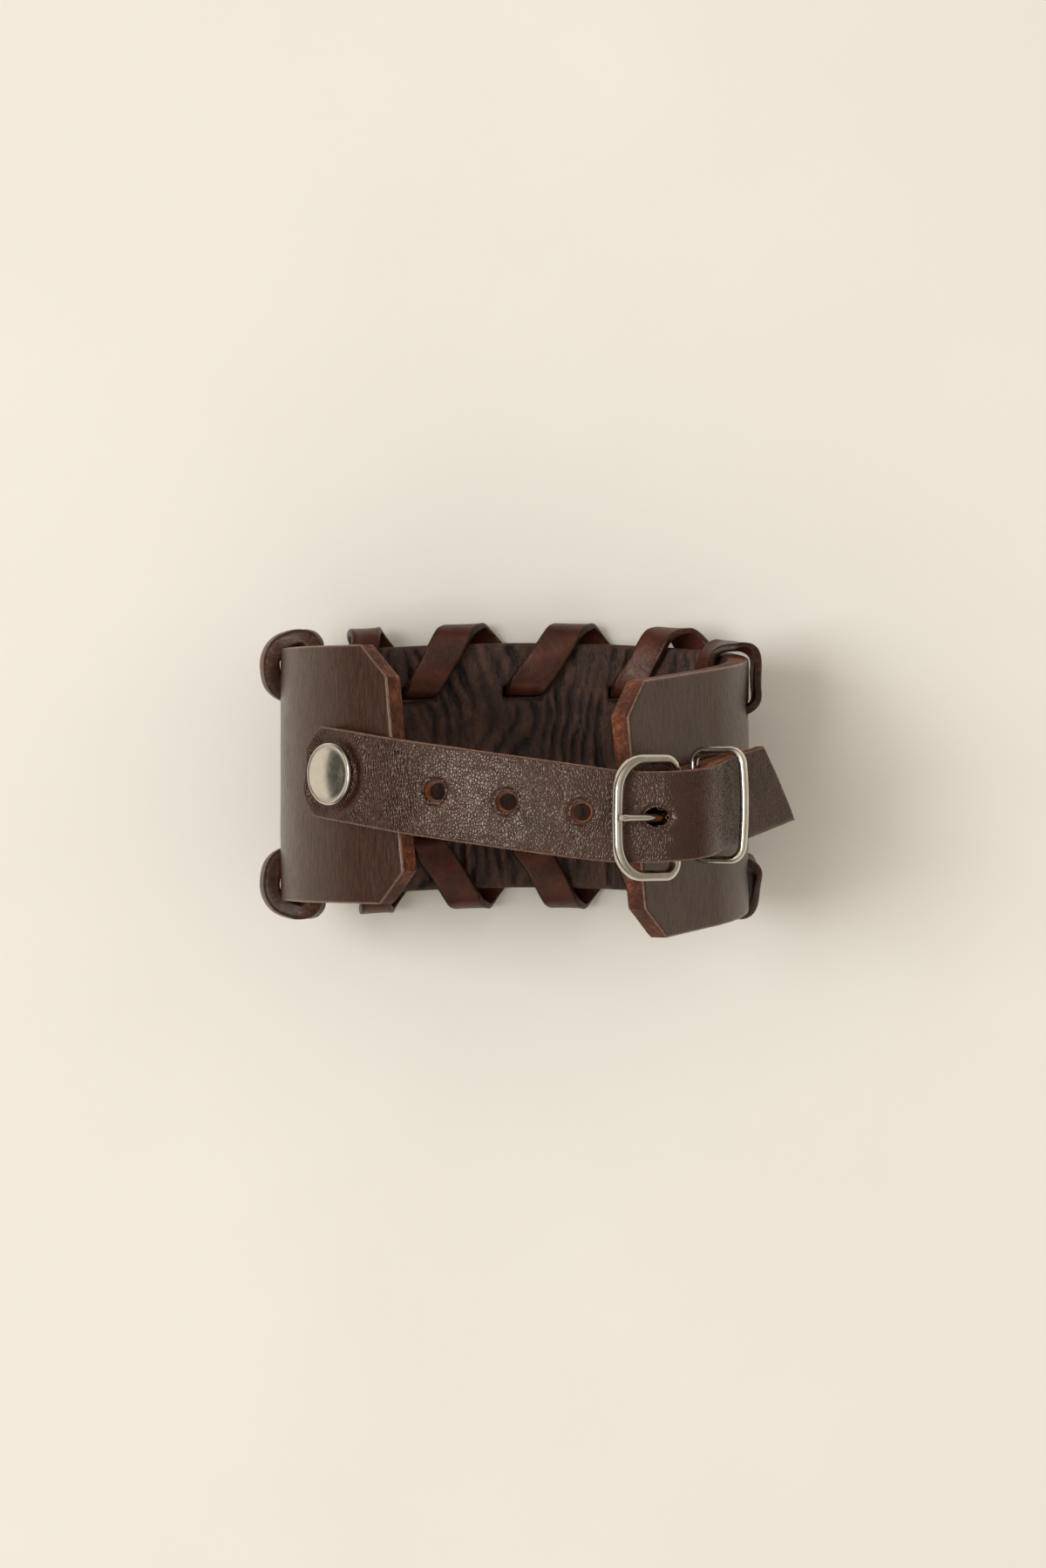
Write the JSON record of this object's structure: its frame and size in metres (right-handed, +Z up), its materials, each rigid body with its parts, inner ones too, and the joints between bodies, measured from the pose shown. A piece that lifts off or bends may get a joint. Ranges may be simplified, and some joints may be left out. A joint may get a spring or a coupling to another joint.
{
  "type": "leather wrist cuff",
  "caption": "Wide leather wrist cuff with laced edges, closed by a riveted strap, a wire buckle with a prong and a wire keeper loop.",
  "frame": {"origin": "middle of the cuff's footprint, on the surface that it lies on, with the closure on top", "axes": "+Z up to the closure, Y along the wrist, +X towards the buckle side"},
  "size_m": [0.074, 0.044, 0.0655],
  "materials": {
    "band_leather": "thick vegetable-tanned leather, dark brown, fine grain across the band, raw orange-brown cut edges",
    "lace_leather": "smooth flat lace, reddish brown with paler cut edges",
    "strap_leather": "glossier crinkled brown leather",
    "tab_leather": "thin dark brown leather",
    "nickel": "polished nickel-plated wire and caps, slightly worn"
  },
  "bodies": {
    "cuff": {"cuff_band": "band_leather", "lace_upper": "lace_leather", "lace_lower": "lace_leather", "strap_rivet": "nickel", "strap_rivet_back": "nickel", "buckle_tab": "tab_leather", "tab_rivet": "nickel", "tab_rivet_back": "nickel"},
    "strap": {"strap": "strap_leather"},
    "buckle": {"buckle_frame": "nickel"},
    "prong": {"buckle_prong": "nickel"},
    "keeper": {"keeper_loop": "nickel"}
  },
  "joints": [
    {"name": "strap_swivel", "type": "hinge", "parent": "cuff", "child": "strap", "pos_m": [-0.02624, 0.00005, 0.04685], "axis": [-0.7148, 0, 0.6994], "range_deg": [-0.4, 0.4]},
    {"name": "buckle_tilt", "type": "hinge", "parent": "cuff", "child": "buckle", "pos_m": [0.02008, -0.00577, 0.05626], "axis": [0, 1, 0], "range_deg": [-0.5, 3]},
    {"name": "prong_pivot", "type": "hinge", "parent": "buckle", "child": "prong", "pos_m": [0.02008, -0.00577, 0.05626], "axis": [0, 1, 0], "range_deg": [0, 3]},
    {"name": "keeper_tilt", "type": "hinge", "parent": "cuff", "child": "keeper", "pos_m": [0.02278, -0.0041, 0.04876], "axis": [0, 1, 0], "range_deg": [-1.5, 1.5]}
  ]
}
